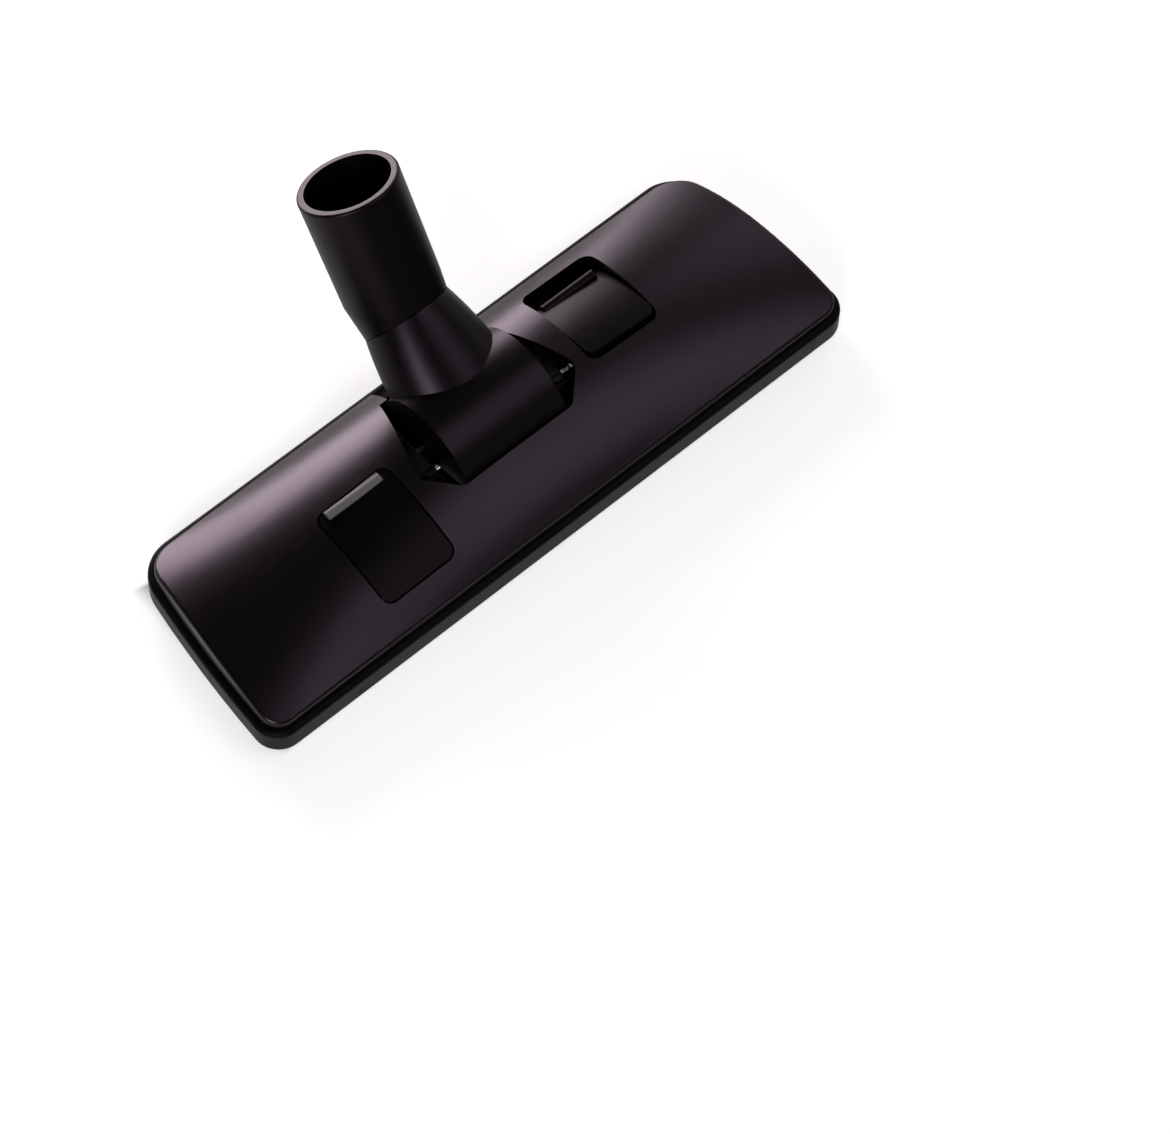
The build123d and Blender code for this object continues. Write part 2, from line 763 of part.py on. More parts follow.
def brush_strip(slot_y, slot_width, inner_x, outer_x, x_sign):
    """Backing bar with a row of bristle tufts."""
    half = slot_width / 2 - brush_gap
    low_x = inner_x + brush_gap
    high_x = outer_x - brush_gap
    bar_bottom = carrier_bottom - brush_bar_height
    strip = block((low_x, high_x), (slot_y - half, slot_y + half), (bar_bottom, carrier_bottom))
    tuft_half = half - tuft_inset
    count = int((high_x - low_x) // tuft_pitch)
    first = (low_x + high_x) / 2 - (count - 1) * tuft_pitch / 2
    for number in range(count):
        x = first + number * tuft_pitch
        xs = (x - tuft_length / 2, x + tuft_length / 2)
        strip += block(xs, (slot_y - tuft_half, slot_y + tuft_half), (tuft_tip, bar_bottom))
    if x_sign < 0:
        strip = mirror(strip, about=Plane.YZ)
    return strip


def drum_pie(radius, xs):
    """Sector of a disc about the tilt axis, run along the head."""
    def rim(angle):
        turn = math.radians(angle)
        return (neck_y + radius * math.cos(turn), neck_z + radius * math.sin(turn))

    middle = (drum_front_angle + drum_rear_angle) / 2
    arc = ThreePointArc(rim(drum_rear_angle), rim(middle), rim(drum_front_angle))
    edges = [arc, Line(rim(drum_front_angle), (neck_y, neck_z)), Line((neck_y, neck_z), rim(drum_rear_angle))]
    low, high = xs
    return extrude(Plane.YZ.offset(low) * make_face(edges), amount=high - low)


def neck_taper(sink, end_radius):
    """Neck that narrows from the drum's width to the round seam, moved inwards by sink."""
    root = Plane(origin=neck_root, x_dir=(1, 0, 0), z_dir=neck_way)
    height = neck_root_radius - sink
    sections = [
        root * Ellipse(neck_root_half_width - sink, height),
        root.offset(neck_shoulder_reach) * Ellipse(neck_shoulder_half_width - sink, height),
        root.offset(neck_reach) * Circle(end_radius),
    ]
    return loft(sections)


def neck_elbow():
    """Drum with trunnions, tapered neck and the spigot of the swivel, moulded in one."""
    inner_half = drum_half_width - drum_wall
    elbow = drum_pie(drum_radius, (-drum_half_width, drum_half_width))
    elbow += neck_taper(0, neck_radius)
    elbow += swivel_frame * (Pos(0, 0, spigot_length / 2) * Cylinder(spigot_radius, spigot_length))
    elbow -= drum_pie(drum_radius - drum_wall, (-inner_half, inner_half))
    elbow -= neck_taper(drum_wall, neck_bore_radius)
    elbow -= swivel_frame * Cylinder(tube_throat_radius, 2 * throat_reach)
    elbow -= rod((-inner_half, inner_half), neck_y, neck_z, 2 * (drum_radius - drum_wall))
    elbow += both_sides(rod((inner_half, trunnion_end_x), neck_y, neck_z, trunnion_diameter))
    clip_groove = Cylinder(spigot_radius + overcut, clip_width) - Cylinder(spigot_radius - clip_depth, clip_width)
    elbow -= swivel_frame * (Pos(0, 0, clip_place) * clip_groove)
    elbow -= swivel_frame * (Pos(0, 0, seal_place) * Torus(spigot_radius, seal_radius))
    return elbow


def swivel_clip():
    """Split ring in the spigot's groove, which holds the tube on."""
    outer = spigot_radius + clip_depth
    clip = Cylinder(outer, clip_width) - Cylinder(spigot_radius - clip_depth, clip_width)
    clip -= Pos(outer, 0, 0) * Box(2 * clip_gap, clip_gap, 2 * clip_width)
    return swivel_frame * (Pos(0, 0, clip_place) * clip)


def swivel_seal():
    """Rubber ring that seals the swivel."""
    return swivel_frame * (Pos(0, 0, seal_place) * Torus(spigot_radius, seal_radius))


def tube_bend(seam_radius, foot_radius):
    """Short bend from the seam, square to the swivel, to the foot of the straight tube."""
    return loft([swivel_frame.offset(seam_gap) * Circle(seam_radius), tube_frame * Circle(foot_radius)])


def swivel_tube():
    """Bent pipe socket that turns on the neck's spigot."""
    straight = Pos(0, 0, tube_length / 2) * Cone(tube_foot_radius, tube_end_radius, tube_length)
    end_edge = straight.edges().sort_by(Axis.Z)[-1]
    straight = fillet(end_edge, tube_end_round)
    throat = Pos(0, 0, tube_length / 2) * Cylinder(tube_throat_radius, tube_length)
    socket = Pos(0, 0, tube_length - tube_socket_depth / 2) * Cylinder(tube_bore_radius, tube_socket_depth)
    tube = tube_bend(neck_radius, tube_foot_radius) + tube_frame * straight
    tube -= tube_bend(tube_throat_radius, tube_throat_radius)
    tube -= tube_frame * (throat + socket)
    lower_depth = spigot_length + fit_gap
    lower = Pos(0, 0, lower_depth / 2) * Cylinder(spigot_radius + fit_gap, lower_depth)
    clip_room = Pos(0, 0, clip_place) * Cylinder(
        spigot_radius + clip_depth + fit_gap, clip_width + 2 * fit_gap
    )
    seal_room = Pos(0, 0, seal_place) * Torus(spigot_radius, seal_radius + fit_gap)
    return tube - swivel_frame * (lower + clip_room + seal_room)


def wiper(low_y, wall_top, way):
    """Rubber lip on a chamber wall, which wipes the drum."""
    half = drum_half_width
    out_y = low_y + chamber_wall if way > 0 else low_y - chamber_wall
    tip_z = wall_top + wiper_height
    reach = math.sqrt((drum_radius + wiper_gap) ** 2 - (tip_z - neck_z) ** 2)
    tip_y = neck_y + way * reach
    lip = [
        (out_y, wall_top),
        (out_y, wall_top + wiper_height / 2),
        (tip_y + way * wiper_gap, tip_z),
        (tip_y, tip_z),
        (low_y, wall_top),
    ]
    return profile(lip, (-half, half))


parts = {
    "top_cover": top_cover(),
    "base_tray": base_tray(),
    "bumper_strip": bumper_strip(),
    "sole_plate": sole_plate(),
    "front_lint_strip": lint_strip(plate_front_y),
    "rear_lint_strip": lint_strip(plate_rear_y - lint_depth),
    "sole_screws": sole_screws(),
    "rocker_pedal": rocker_pedal(),
    "rocker_pins": rocker_pins(),
    "detent_spring": detent_spring(),
    "brush_carrier": brush_carrier(),
    "neck_elbow": neck_elbow(),
    "left_bearing_cap": mirror(bearing_cap(), about=Plane.YZ),
    "right_bearing_cap": bearing_cap(),
    "bearing_cap_screws": cap_screws(),
    "front_wiper": wiper(chamber_front_y, chamber_front_top, -1),
    "rear_wiper": wiper(chamber_rear_y, chamber_rear_top, 1),
    "swivel_tube": swivel_tube(),
    "swivel_clip": swivel_clip(),
    "swivel_seal": swivel_seal(),
}
for side, x_sign in (("left", -1), ("right", 1)):
    front_span = (front_slot_y, front_slot_width, front_slot_inner_x, front_slot_outer_x)
    rear_span = (rear_slot_y, rear_slot_width, rear_slot_inner_x, rear_slot_outer_x)
    parts[f"{side}_front_brush"] = brush_strip(*front_span, x_sign)
    parts[f"{side}_rear_brush"] = brush_strip(*rear_span, x_sign)

spans = [shape.bounding_box() for shape in parts.values()]
box_middle_y = (min(span.min.Y for span in spans) + max(span.max.Y for span in spans)) / 2
os.makedirs("parts", exist_ok=True)
for name, shape in parts.items():
    export_step(Pos(0, -box_middle_y, 0) * shape, f"parts/{name}.step")
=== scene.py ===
import math

import bmesh
import bpy
from mathutils import Matrix, Vector


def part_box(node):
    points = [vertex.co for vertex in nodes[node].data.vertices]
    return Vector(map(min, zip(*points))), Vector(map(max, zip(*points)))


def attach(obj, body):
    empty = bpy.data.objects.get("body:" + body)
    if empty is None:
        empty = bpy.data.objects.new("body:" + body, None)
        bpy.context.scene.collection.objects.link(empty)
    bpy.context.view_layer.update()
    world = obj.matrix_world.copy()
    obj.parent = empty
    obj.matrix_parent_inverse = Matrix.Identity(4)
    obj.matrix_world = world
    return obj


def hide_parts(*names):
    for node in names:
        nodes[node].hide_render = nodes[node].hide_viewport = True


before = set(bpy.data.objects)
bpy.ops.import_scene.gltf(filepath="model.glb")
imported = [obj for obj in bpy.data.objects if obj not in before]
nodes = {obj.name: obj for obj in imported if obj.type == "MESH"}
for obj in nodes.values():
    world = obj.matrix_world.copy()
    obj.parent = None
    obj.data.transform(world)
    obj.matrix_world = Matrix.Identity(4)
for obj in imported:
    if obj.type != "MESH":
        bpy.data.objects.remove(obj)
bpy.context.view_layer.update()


# Base tray and bearing caps. The lower half of the head is one black moulding that carries everything
# else, and the two caps close its bearings. They are plain matt plastic straight from the tool, with
# a spark-eroded grain and a little colour change where the melt ran thin.
class Value:
    """One socket, so that maths on sockets is written as sums."""

    def __init__(self, tree, socket):
        self.tree = tree
        self.socket = socket

    def maths(self, operation, first, second):
        node = self.tree.nodes.new("ShaderNodeMath")
        node.operation = operation
        for place, item in zip(node.inputs, (first, second)):
            if isinstance(item, Value):
                self.tree.links.new(item.socket, place)
            else:
                place.default_value = item
        return Value(self.tree, node.outputs[0])

    def __add__(self, other):
        return self.maths("ADD", self, other)

    __radd__ = __add__

    def __sub__(self, other):
        return self.maths("SUBTRACT", self, other)

    def __rsub__(self, other):
        return self.maths("SUBTRACT", other, self)

    def __mul__(self, other):
        return self.maths("MULTIPLY", self, other)

    __rmul__ = __mul__

    def __truediv__(self, other):
        return self.maths("DIVIDE", self, other)

    def __rtruediv__(self, other):
        return self.maths("DIVIDE", other, self)

    def __mod__(self, other):
        return self.maths("FLOORED_MODULO", self, other)

    def __rmod__(self, other):
        return self.maths("FLOORED_MODULO", other, self)

    def __gt__(self, other):
        return self.maths("GREATER_THAN", self, other)

    def __lt__(self, other):
        return self.maths("LESS_THAN", self, other)

    def __abs__(self):
        return self.maths("ABSOLUTE", self, 0)

    def most(self, other):
        return self.maths("MAXIMUM", self, other)


class Nodes:
    """The node tree of one finish, of one repeated shape or of the room."""

    def __init__(self, tree):
        self.tree = tree

    def put(self, place, item):
        if isinstance(item, Value):
            self.tree.links.new(item.socket, place)
        else:
            place.default_value = item

    def node(self, kind, out, settings=None, sockets=None):
        made = self.tree.nodes.new(kind)
        for name, setting in (settings or {}).items():
            setattr(made, name, setting)
        for name, item in (sockets or {}).items():
            self.put(made.inputs[name], item)
        return Value(self.tree, made.outputs[out])

    def along(self, vector, axis):
        """One coordinate of a vector."""
        return self.node("ShaderNodeSeparateXYZ", axis, {}, {"Vector": vector})

    def ramp(self, value, low, high, first=0.0, last=1.0, curve="SMOOTHSTEP"):
        """Goes from first, at low and below, to last, at high and above."""
        return self.node(
            "ShaderNodeMapRange",
            "Result",
            {"interpolation_type": curve},
            {"Value": value, "From Min": low, "From Max": high, "To Min": first, "To Max": last},
        )


class Finish(Nodes):
    """A procedural material on one Principled shader."""

    def __init__(self, name, sockets):
        self.material = bpy.data.materials.new(name)
        self.material.use_nodes = True
        super().__init__(self.material.node_tree)
        self.shader = self.tree.nodes["Principled BSDF"]
        self.place = self.node("ShaderNodeTexCoord", "Object")
        self.set(sockets)

    def set(self, sockets):
        for name, item in sockets.items():
            self.put(self.shader.inputs[name], item)

    def noise(self, scale, detail=2.0, stretch=(1, 1, 1), turn=(0, 0, 0)):
        """Noise between 0 and 1, with its scale in waves to the metre."""
        mapped = self.node(
            "ShaderNodeMapping", "Vector", {}, {"Vector": self.place, "Scale": stretch, "Rotation": turn}
        )
        return self.node(
            "ShaderNodeTexNoise", "Fac", {}, {"Vector": mapped, "Scale": scale, "Detail": detail}
        )

    def mix(self, factor, first, second):
        """Colour between two colours, which go in at sockets 6 and 7 and come out at 2."""
        return self.node(
            "ShaderNodeMix", 2, {"data_type": "RGBA"}, {"Factor": factor, 6: first, 7: second}
        )

    def bump(self, height, strength, distance):
        normal = self.node(
            "ShaderNodeBump", "Normal", {}, {"Height": height, "Strength": strength, "Distance": distance}
        )
        self.set({"Normal": normal})

    def wear(self, *names):
        """Puts the finish on CAD pieces."""
        for name in names:
            nodes[name].data.materials.clear()
            nodes[name].data.materials.append(self.material)


class Moulding(Finish):
    """Moulded plastic with a fine grain, faint flow clouds and light rub marks."""

    def __init__(self, name, dark, light, roughness, grain, gloss=0.4):
        plum = (0.97, 0.76, 0.96, 1)
        super().__init__(name, {"IOR": 1.5, "Specular IOR Level": gloss, "Specular Tint": plum})
        cloud = self.noise(scale=28, detail=3)
        streaks = self.noise(scale=160, detail=4, stretch=(1, 9, 4), turn=(0.2, 0.1, 0.6))
        rub = self.ramp(streaks, 0.63, 0.74)
        self.colour = self.mix(cloud * 0.6 + rub * 0.35, (*dark, 1), (*light, 1))
        self.set({"Base Color": self.colour, "Roughness": roughness - 0.04 + cloud * 0.08 + rub * 0.06})
        self.bump(self.noise(scale=1500), strength=grain, distance=0.00012)


tray_plastic = Moulding(
    "tray_plastic", (0.004, 0.004, 0.0045), (0.01, 0.01, 0.011), roughness=0.5, grain=0.35, gloss=0.3
)
tray_plastic.wear("base_tray", "left_bearing_cap", "right_bearing_cap")


# Bearing-cap screws. Small steel screws, blackened in oil so that they don't rust in the air stream.
# They hold the two caps down over the trunnions.
blackened = Finish("blackened_steel", {"Metallic": 1.0})
blackened_cloud = blackened.noise(scale=500, detail=3)
blackened.set(
    {
        "Base Color": blackened.mix(blackened_cloud, (0.015, 0.015, 0.017, 1), (0.04, 0.039, 0.04, 1)),
        "Roughness": 0.4 + blackened_cloud * 0.2,
    }
)
blackened.wear("bearing_cap_screws")


# Hinge pins and sole screws. All are turned steel with a pale zinc plating, which is cloudy and
# dulled in patches. The pins carry the rocker, and the screws pull the plate up to the cover.
zinc = Finish("zinc_plating", {"Metallic": 1.0})
zinc_cloud = zinc.noise(scale=420, detail=3)
zinc.set(
    {
        "Base Color": zinc.mix(zinc_cloud, (0.52, 0.52, 0.54, 1), (0.7, 0.69, 0.66, 1)),
        "Roughness": 0.26 + zinc_cloud * 0.2,
    }
)
zinc.bump(zinc.noise(scale=2600, stretch=(1, 1, 8)), strength=0.2, distance=0.00004)
zinc.wear("rocker_pins", "sole_screws")


# Sole plate. Sheet steel, pressed and polished before it was cut, so fine lines run along it.
# It lies against the tray and is held by the two countersunk screws.
polished = Finish("polished_sheet", {"Metallic": 1.0})
lines = polished.noise(scale=900, detail=3, stretch=(0.03, 1, 1))
smear = polished.noise(scale=22, detail=3)
polished.set(
    {
        "Base Color": polished.mix(smear, (0.74, 0.7, 0.64, 1), (0.84, 0.81, 0.76, 1)),
        "Roughness": 0.12 + lines * 0.12 + smear * 0.06,
    }
)
polished.bump(lines, strength=0.12, distance=0.00003)
polished.wear("sole_plate")


# Lint strips. Two strips of crimson velvet on a woven backing are bonded to the tray in front of
# and behind the mouth. The pile stands down towards the floor, and its hairs lean a little.
velvet = Finish("crimson_velvet", {"Sheen Weight": 0.6, "Sheen Roughness": 0.4, "IOR": 1.4})
velvet.set({"Sheen Tint": (0.9, 0.35, 0.4, 1)})
velvet_patch = velvet.noise(scale=140, detail=3)
velvet.set(
    {
        "Base Color": velvet.mix(velvet_patch, (0.16, 0.006, 0.016, 1), (0.36, 0.016, 0.04, 1)),
        "Roughness": 0.75 + velvet_patch * 0.15,
    }
)
velvet.bump(velvet.noise(scale=2400), strength=0.4, distance=0.0002)


class Hairs(Nodes):
    """Geometry Nodes tree that hangs thin hairs on a jittered grid, with named sizes."""

    def __init__(self, name, *more):
        super().__init__(bpy.data.node_groups.new(name, "GeometryNodeTree"))
        kinds = {"Roots": "NodeSocketVector", "Seed": "NodeSocketInt"}
        sockets = self.tree.interface
        for label in ("Roots", "Length", "Depth", "Hair", "Seed", *more):
            kind = kinds.get(label, "NodeSocketFloat")
            sockets.new_socket(label, in_out="INPUT", socket_type=kind)
        sockets.new_socket("Geometry", in_out="OUTPUT", socket_type="NodeSocketGeometry")
        self.sizes = self.tree.nodes.new("NodeGroupInput")

    def size(self, label):
        return Value(self.tree, self.sizes.outputs[label])

    def scatter(self, spacing, jitter):
        """Grid of points over the strip, each moved a little."""
        length = self.size("Length")
        depth = self.size("Depth")
        counts = {"Vertices X": length / spacing, "Vertices Y": depth / spacing}
        grid = self.node("GeometryNodeMeshGrid", "Mesh", {}, {"Size X": length, "Size Y": depth, **counts})
        shift = self.node(
            "FunctionNodeRandomValue",
            0,
            {"data_type": "FLOAT_VECTOR"},
            {0: (-jitter, -jitter, 0), 1: (jitter, jitter, 0), "Seed": self.size("Seed")},
        )
        return self.node("GeometryNodeSetPosition", "Geometry", {}, {"Geometry": grid, "Offset": shift})

    def hair(self, sides, end, root_radius, tip_radius):
        """One hair, which points down."""
        radii = {"Radius Bottom": root_radius, "Radius Top": tip_radius}
        cone = self.node(
            "GeometryNodeMeshCone",
            "Mesh",
            {"fill_type": end},
            {"Vertices": sides, "Depth": self.size("Hair"), **radii},
        )
        return self.node("GeometryNodeTransform", "Geometry", {}, {0: cone, "Rotation": (math.pi, 0, 0)})

    def plant(self, points, hair, tilt_low, tilt_high, finish):
        """Sets a hair on every point, makes it real and gives it its finish."""
        tilt = self.node(
            "FunctionNodeRandomValue",
            0,
            {"data_type": "FLOAT_VECTOR"},
            {0: tilt_low, 1: tilt_high, "Seed": self.size("Seed") + 7},
        )
        stand = self.node(
            "GeometryNodeInstanceOnPoints",
            "Instances",
            {},
            {"Points": points, "Instance": hair, "Rotation": tilt},
        )
        real = self.node("GeometryNodeRealizeInstances", "Geometry", {}, {"Geometry": stand})
        smooth = self.node("GeometryNodeSetShadeSmooth", 0, {}, {0: real})
        placed = self.node(
            "GeometryNodeTransform", "Geometry", {}, {0: smooth, "Translation": self.size("Roots")}
        )
        finished = self.node(
            "GeometryNodeSetMaterial", "Geometry", {}, {"Geometry": placed, "Material": finish.material}
        )
        out = self.tree.nodes.new("NodeGroupOutput")
        self.put(out.inputs["Geometry"], finished)

    def grow(self, name, settings):
        """Runs the tree on an empty object and keeps the result as a plain mesh."""
        piece = bpy.data.objects.new(name, bpy.data.meshes.new(name))
        bpy.context.scene.collection.objects.link(piece)
        modifier = piece.modifiers.new("grow", "NODES")
        modifier.node_group = self.tree
        for item in self.tree.interface.items_tree:
            if item.in_out == "INPUT":
                modifier[item.identifier] = settings[item.name]
        bpy.context.view_layer.update()
        evaluated = piece.evaluated_get(bpy.context.evaluated_depsgraph_get())
        grown = bpy.data.meshes.new_from_object(evaluated)
        piece.modifiers.clear()
        piece.data = grown
        return piece


def soft_bar(name, low, high, radius):
    """Bar between two corners with rounded edges."""
    mesh = bpy.data.meshes.new(name)
    bar = bmesh.new()
    bmesh.ops.create_cube(bar, size=1)
    middle = Matrix.Translation((Vector(low) + Vector(high)) / 2)
    spread = Matrix.Diagonal((*(Vector(high) - Vector(low)), 1))
    bmesh.ops.transform(bar, matrix=middle @ spread, verts=bar.verts)
    bmesh.ops.bevel(
        bar,
        geom=bar.edges,
        offset=radius,
        segments=3,
        profile=0.5,
        affect="EDGES",
        clamp_overlap=True,
    )
    bar.to_mesh(mesh)
    bar.free()
    for face in mesh.polygons:
        face.use_smooth = True
    piece = bpy.data.objects.new(name, mesh)
    bpy.context.scene.collection.objects.link(piece)
    return piece


pile = Hairs("pile", "Spacing")
pile_points = pile.scatter(pile.size("Spacing"), jitter=0.00012)
pile_hair = pile.hair(sides=3, end="NONE", root_radius=0.00017, tip_radius=0.00003)
pile.plant(
    pile_points, pile_hair, tilt_low=(0.05, -0.3, 0), tilt_high=(0.5, 0.3, 6.28), finish=velvet
)
pile_length = 0.0009
pile_bare_end = 0.0005
pile_margin = 0.0008
for strip, seed in (("front_lint_strip", 3), ("rear_lint_strip", 5)):
    low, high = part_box(strip)
    backing_low = (low.x, low.y, low.z + pile_bare_end)
    backing = soft_bar(strip + "_backing", backing_low, high, radius=0.0003)
    backing.data.materials.append(velvet.material)
    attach(backing, "head")
    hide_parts(strip)
    settings = {
        "Roots": ((low.x + high.x) / 2, (low.y + high.y) / 2, low.z + pile_length),
        "Length": high.x - low.x - pile_margin,
        "Depth": high.y - low.y - pile_margin,
        "Spacing": 0.0003,
        "Hair": pile_length,
        "Seed": seed,
    }
    hairs = pile.grow(strip + "_pile", settings)
    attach(hairs, "head")


# Brush carrier. A plain grey frame under the cover carries the four strips and slides on two posts.
# It is the same kind of moulding as the tray, in a stiffer grade.
carrier_plastic = Moulding(
    "carrier_plastic", (0.06, 0.06, 0.064), (0.11, 0.11, 0.115), roughness=0.5, grain=0.3
)
carrier_plastic.wear("brush_carrier")


# Brush strips. Each is a nylon bar with stapled tufts of olive-grey bristle, which stand back inside
# the plate until the pedal is pressed. The tufts are a little uneven, as cut bristle is.
nylon = Finish("nylon_bristle", {"IOR": 1.53})
nylon_shade = nylon.noise(scale=700, stretch=(1, 1, 0.1))
nylon.set(
    {
        "Base Color": nylon.mix(nylon_shade, (0.1, 0.094, 0.07, 1), (0.27, 0.25, 0.19, 1)),
        "Roughness": 0.38 + nylon_shade * 0.15,
    }
)
bristles = Hairs("bristles", "Pitch", "Tuft")
bristle_points = bristles.scatter(spacing=0.00042, jitter=0.0001)
spot = bristles.node("GeometryNodeInputPosition", "Position")
spot_x = bristles.along(spot, "X")
spot_y = bristles.along(spot, "Y")
pitch = bristles.size("Pitch")
tuft = bristles.size("Tuft")
tuft_flatness = 0.55
from_tuft = (spot_x + bristles.size("Length") * 0.5) % pitch - pitch * 0.5
outside = (from_tuft * from_tuft + spot_y * spot_y * tuft_flatness) > tuft * tuft
tufts = bristles.node(
    "GeometryNodeDeleteGeometry",
    "Geometry",
    {"domain": "POINT"},
    {"Geometry": bristle_points, "Selection": outside},
)
bristle_hair = bristles.hair(sides=5, end="NGON", root_radius=0.00014, tip_radius=0.00016)
bristles.plant(
    tufts, bristle_hair, tilt_low=(-0.05, -0.05, 0), tilt_high=(0.05, 0.05, 6.28), finish=nylon
)
bar_height = 0.0036
bristle_sink = 0.0004
bristle_end_margin = 0.001
bristle_side_margin = 0.0014
for strip, seed in (
    ("left_front_brush", 11),
    ("left_rear_brush", 13),
    ("right_front_brush", 17),
    ("right_rear_brush", 19),
):
    low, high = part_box(strip)
    bar = soft_bar(strip + "_bar", (low.x, low.y, high.z - bar_height), high, radius=0.0005)
    bar.data.materials.append(nylon.material)
    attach(bar, "carrier")
    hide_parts(strip)
    bristle_length = high.z - bar_height - low.z + bristle_sink
    settings = {
        "Roots": ((low.x + high.x) / 2, (low.y + high.y) / 2, low.z + bristle_length),
        "Length": high.x - low.x - bristle_end_margin,
        "Depth": high.y - low.y - bristle_side_margin,
        "Pitch": 0.0043,
        "Tuft": 0.0016,
        "Hair": bristle_length,
        "Seed": seed,
    }
    hairs = bristles.grow(strip + "_bristle", settings)
    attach(hairs, "carrier")


# Bumper, wipers and swivel seal. These are soft black rubber, extruded or moulded and pressed on.
# The bumper has rubbed pale marks and a trace of dust.
rubber = Finish("black_rubber", {"IOR": 1.5, "Specular IOR Level": 0.08})
dust = rubber.ramp(rubber.noise(scale=90, detail=5), 0.55, 0.8)
scuff = rubber.ramp(rubber.noise(scale=70, detail=4, stretch=(1, 1, 7)), 0.62, 0.72)
pale_marks = dust * 0.3 + scuff * 0.3
rubber.set(
    {
        "Base Color": rubber.mix(pale_marks, (0.002, 0.002, 0.0022, 1), (0.012, 0.012, 0.013, 1)),
        "Roughness": 0.5 + dust * 0.14,
    }
)
rubber.bump(rubber.noise(scale=1100, detail=3), strength=0.25, distance=0.0001)
rubber.wear("bumper_strip", "front_wiper", "rear_wiper", "swivel_seal")


# Neck and swivel tube. Both are plum-black mouldings with a satin skin. The neck hangs by its
# trunnions below the bearing caps, and the tube turns on the neck's spigot.
neck_plastic = Moulding(
    "neck_plastic",
    (0.0013, 0.0009, 0.0016),
    (0.0034, 0.0024, 0.004),
    roughness=0.36,
    grain=0.07,
    gloss=0.25,
)
neck_plastic.wear("neck_elbow", "swivel_tube")


# Swivel clip and detent leaf. Both are bright spring steel with fine lines from the rolling.
# The clip sits in a groove of the spigot, and the leaf stands in a slotted post of the tray.
spring_steel = Finish("spring_steel", {"Metallic": 1.0})
rolled = spring_steel.noise(scale=1300, stretch=(1, 0.1, 1))
spring_steel.set(
    {
        "Base Color": spring_steel.mix(rolled, (0.5, 0.5, 0.51, 1), (0.68, 0.67, 0.65, 1)),
        "Roughness": 0.2 + rolled * 0.15,
    }
)
spring_steel.wear("swivel_clip", "detent_spring")


# Rocker pedal. The two paddles and their cross bar are one moulding in the cover's own plastic.
# The ridge along the rear of the left paddle is painted pale grey, as a painted highlight.
pedal_plastic = Moulding(
    "pedal_plastic",
    (0.0013, 0.0009, 0.0015),
    (0.0034, 0.0024, 0.0038),
    roughness=0.34,
    grain=0.06,
    gloss=0.12,
)
pedal_x, pedal_y, pedal_z = (pedal_plastic.along(pedal_plastic.place, axis) for axis in "XYZ")
ridge_end_x = -0.0455
behind_ridge_front = pedal_plastic.ramp(pedal_y, -0.0203, -0.0199)
above_ridge_foot = pedal_plastic.ramp(pedal_z, 0.0322, 0.0329)
# Painted highlight: the left paddle's ridge gets a pale grey colour in place of the plastic's own.
painted_highlight = (pedal_x < ridge_end_x) * behind_ridge_front * above_ridge_foot
pedal_plastic.set({"Base Color": pedal_plastic.mix(painted_highlight, pedal_plastic.colour, (0.17, 0.163, 0.17, 1))})
pedal_plastic.wear("rocker_pedal")


# Top cover. One wide crowned shell in plum-black plastic with a satin skin, held from below by
# the sole screws. It closes the head and leaves windows for the neck and the paddles.
cover_plastic = Moulding(
    "cover_plastic",
    (0.0014, 0.001, 0.0016),
    (0.0038, 0.0027, 0.0042),
    roughness=0.31,
    grain=0.07,
    gloss=0.42,
)
cover_plastic.wear("top_cover")


# Floor. A plain pale sheet. It is clear from below and for light that starts just above it, so that
# the sole can be looked at too. Under the head it is painted dark and its glow is cut, as a painted
# shadow, and in reflections its colour is painted darker towards the front right.
floor_mesh = bpy.data.meshes.new("floor")
reach = 6.0
floor_mesh.from_pydata(
    [(-reach, -reach, 0), (reach, -reach, 0), (reach, reach, 0), (-reach, reach, 0)], [], [(0, 1, 2, 3)]
)
floor = bpy.data.objects.new("floor", floor_mesh)
bpy.context.scene.collection.objects.link(floor)
paper = Finish("pale_floor", {"Roughness": 0.9, "Specular IOR Level": 0.0, "Emission Strength": 0.56})
looked_at = paper.node("ShaderNodeLightPath", "Is Camera Ray")
mirrored = paper.node("ShaderNodeLightPath", "Is Glossy Ray")
ray_length = paper.node("ShaderNodeLightPath", "Ray Length")
below = paper.node("ShaderNodeNewGeometry", "Backfacing")
head_middle_y = -0.024
shade_half_length = 0.1316
shade_half_depth = 0.04255
clear_height = 0.03
floor_x = paper.along(paper.place, "X")
floor_y = paper.along(paper.place, "Y") - head_middle_y
from_middle = (abs(floor_x) / shade_half_length).most(abs(floor_y) / shade_half_depth)
# Painted shadow: under the head the floor is coloured near black and gives no glow.
outside_painted_shadow = paper.ramp(from_middle, 0.9, 1.0)
near = (1 - looked_at) * (ray_length < clear_height)
# Painted reflection: as seen in reflections, the floor is coloured darker towards the front right.
beside = paper.ramp(floor_y - floor_x * 0.8, -0.3, 0.05)
painted_mirror_tone = paper.mix(beside, (0.05, 0.05, 0.05, 1), (0.95, 0.95, 0.95, 1))
floor_tone_with_painted_shadow = paper.mix(outside_painted_shadow, (0.01, 0.01, 0.01, 1), (0.93, 0.93, 0.92, 1))
paper.set(
    {
        "Base Color": paper.mix(mirrored, floor_tone_with_painted_shadow, painted_mirror_tone),
        "Emission Color": paper.mix(looked_at * outside_painted_shadow, (0, 0, 0, 1), (1, 1, 0.99, 1)),
    }
)
solid = Value(paper.tree, paper.shader.outputs[0])
clear = paper.node("ShaderNodeBsdfTransparent", "BSDF")
sheet = paper.node("ShaderNodeMixShader", 0, {}, {"Fac": below.most(near), 1: solid, 2: clear})
paper.put(paper.tree.nodes["Material Output"].inputs["Surface"], sheet)
floor_mesh.materials.append(paper.material)


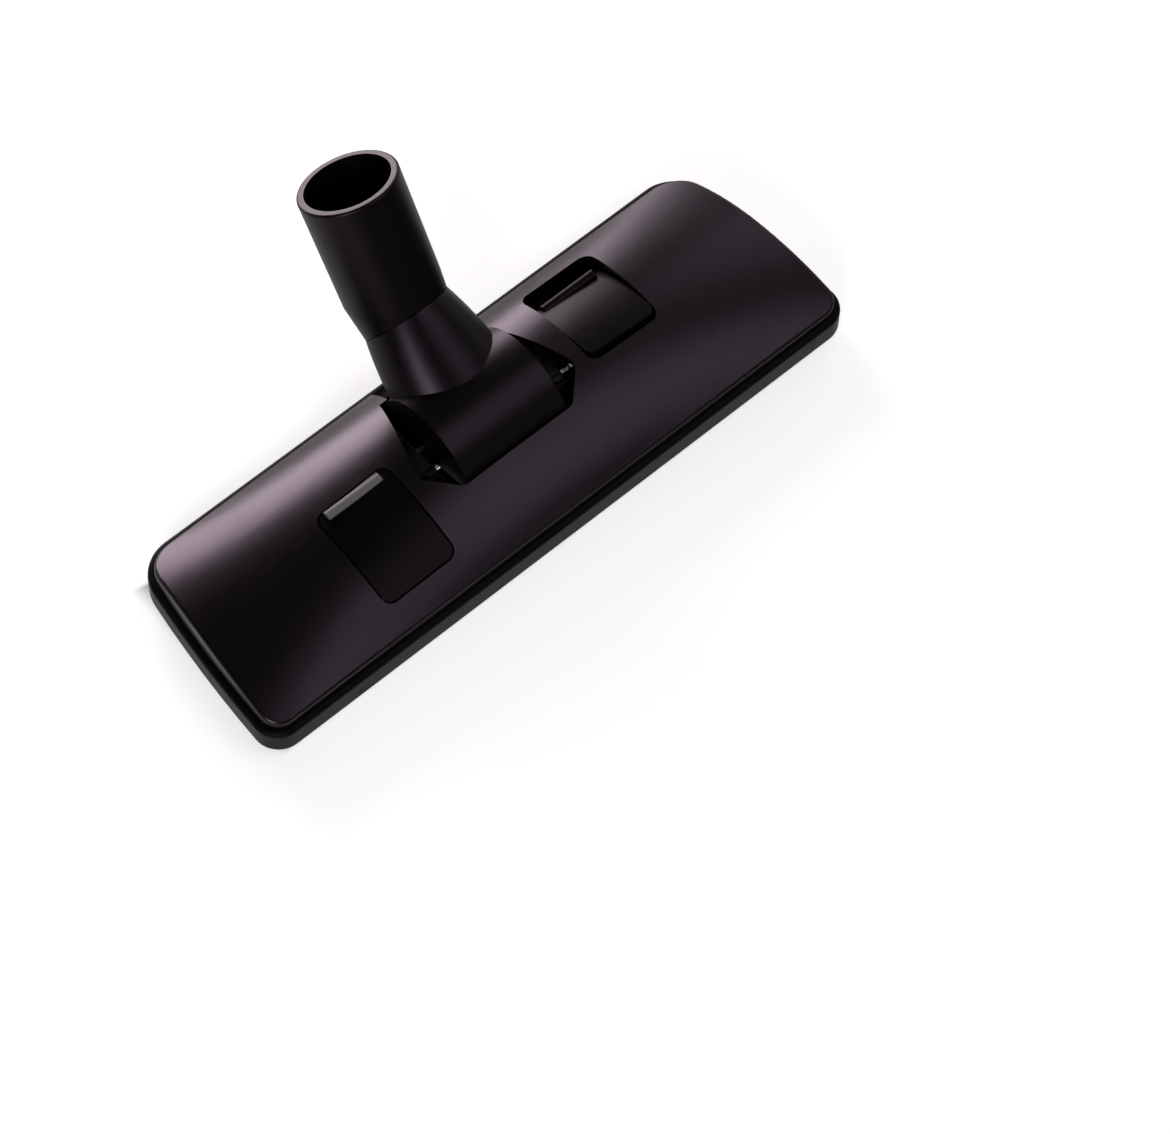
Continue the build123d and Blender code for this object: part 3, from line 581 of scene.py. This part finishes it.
# Studio. A white room that darkens towards the ceiling, the camera and the left, so that the satin
# skin shows a sheen along its rear slope only. An upright soft box stands behind the head, and
# three lamps light it from the front and the sides.
world = bpy.data.worlds.new("studio")
bpy.context.scene.world = world
world.use_nodes = True
room = Nodes(world.node_tree)
way = room.node("ShaderNodeTexCoord", "Generated")
to_right, to_rear, height = (room.along(way, axis) for axis in "XYZ")
wall = room.ramp(height, 0.05, 0.7, first=1.0, last=0.07, curve="LINEAR")
rear_wall = room.ramp(to_rear, -0.3, 0.7, first=0.25, last=1.0, curve="LINEAR")
right_wall = room.ramp(to_right, -0.6, 0.9, first=0.1, last=1.5, curve="LINEAR")
overhead = height > 0
seen = room.node("ShaderNodeLightPath", "Is Camera Ray")
unseen = (1 - overhead) + overhead * wall * rear_wall * right_wall
backdrop = world.node_tree.nodes["Background"]
room.put(backdrop.inputs["Color"], (1.0, 1.0, 1.0, 1.0))
room.put(backdrop.inputs["Strength"], seen + (1 - seen) * unseen)


def soft_box(name, place, aim, size, power, colour=(1, 1, 1)):
    """Rectangular lamp that faces a point."""
    lamp = bpy.data.lights.new(name, "AREA")
    lamp.shape = "RECTANGLE"
    lamp.size, lamp.size_y = size
    lamp.energy = power
    lamp.color = colour
    stand = bpy.data.objects.new(name, lamp)
    stand.location = place
    stand.rotation_mode = "QUATERNION"
    stand.rotation_quaternion = (Vector(aim) - Vector(place)).to_track_quat("-Z", "Y")
    bpy.context.scene.collection.objects.link(stand)


head = (0, -0.02, 0.03)
rose = (1.0, 0.9, 0.92)
soft_box("rear_box", (0.15, 0.8, 0.26), (0.05, -0.02, 0.26), size=(0.55, 0.5), power=6.4, colour=rose)
soft_box("key_lamp", (-1.25, -0.9, 0.9), head, size=(0.6, 0.6), power=12)
soft_box("front_fill", (0.5, -0.62, 1.25), head, size=(0.9, 0.9), power=3.2)
soft_box("right_fill", (1.1, 0.4, 1.0), head, size=(0.6, 0.6), power=1.0)


# Camera. A long lens looks down over the head's front left, as in the photograph. It is turned
# a little to the right and down, so that the head stands in the upper left of the picture.
lens = bpy.data.cameras.new("camera")
lens.sensor_width = 36
lens.lens = 139.0
lens.clip_start = 0.05
lens.clip_end = 60
camera = bpy.data.objects.new("camera", lens)
azimuth = math.radians(-40.7)
elevation = math.radians(60)
distance = 1.6
back = Vector(
    (
        math.sin(azimuth) * math.cos(elevation),
        -math.cos(azimuth) * math.cos(elevation),
        math.sin(elevation),
    )
)
side = Vector((math.cos(azimuth), math.sin(azimuth), 0))
up = back.cross(side)
crown_middle = Vector((0, head_middle_y, 0.015))
camera.location = crown_middle + back * distance
turn_right = Matrix.Rotation(math.radians(-1.205), 3, "Y")
look_down = Matrix.Rotation(math.radians(-1.61), 3, "X")
camera.rotation_mode = "QUATERNION"
camera.rotation_quaternion = (
    Matrix((side, up, back)).transposed() @ turn_right @ look_down
).to_quaternion()
bpy.context.scene.collection.objects.link(camera)
bpy.context.scene.camera = camera
bpy.context.scene.view_settings.view_transform = "Standard"

bpy.context.view_layer.update()
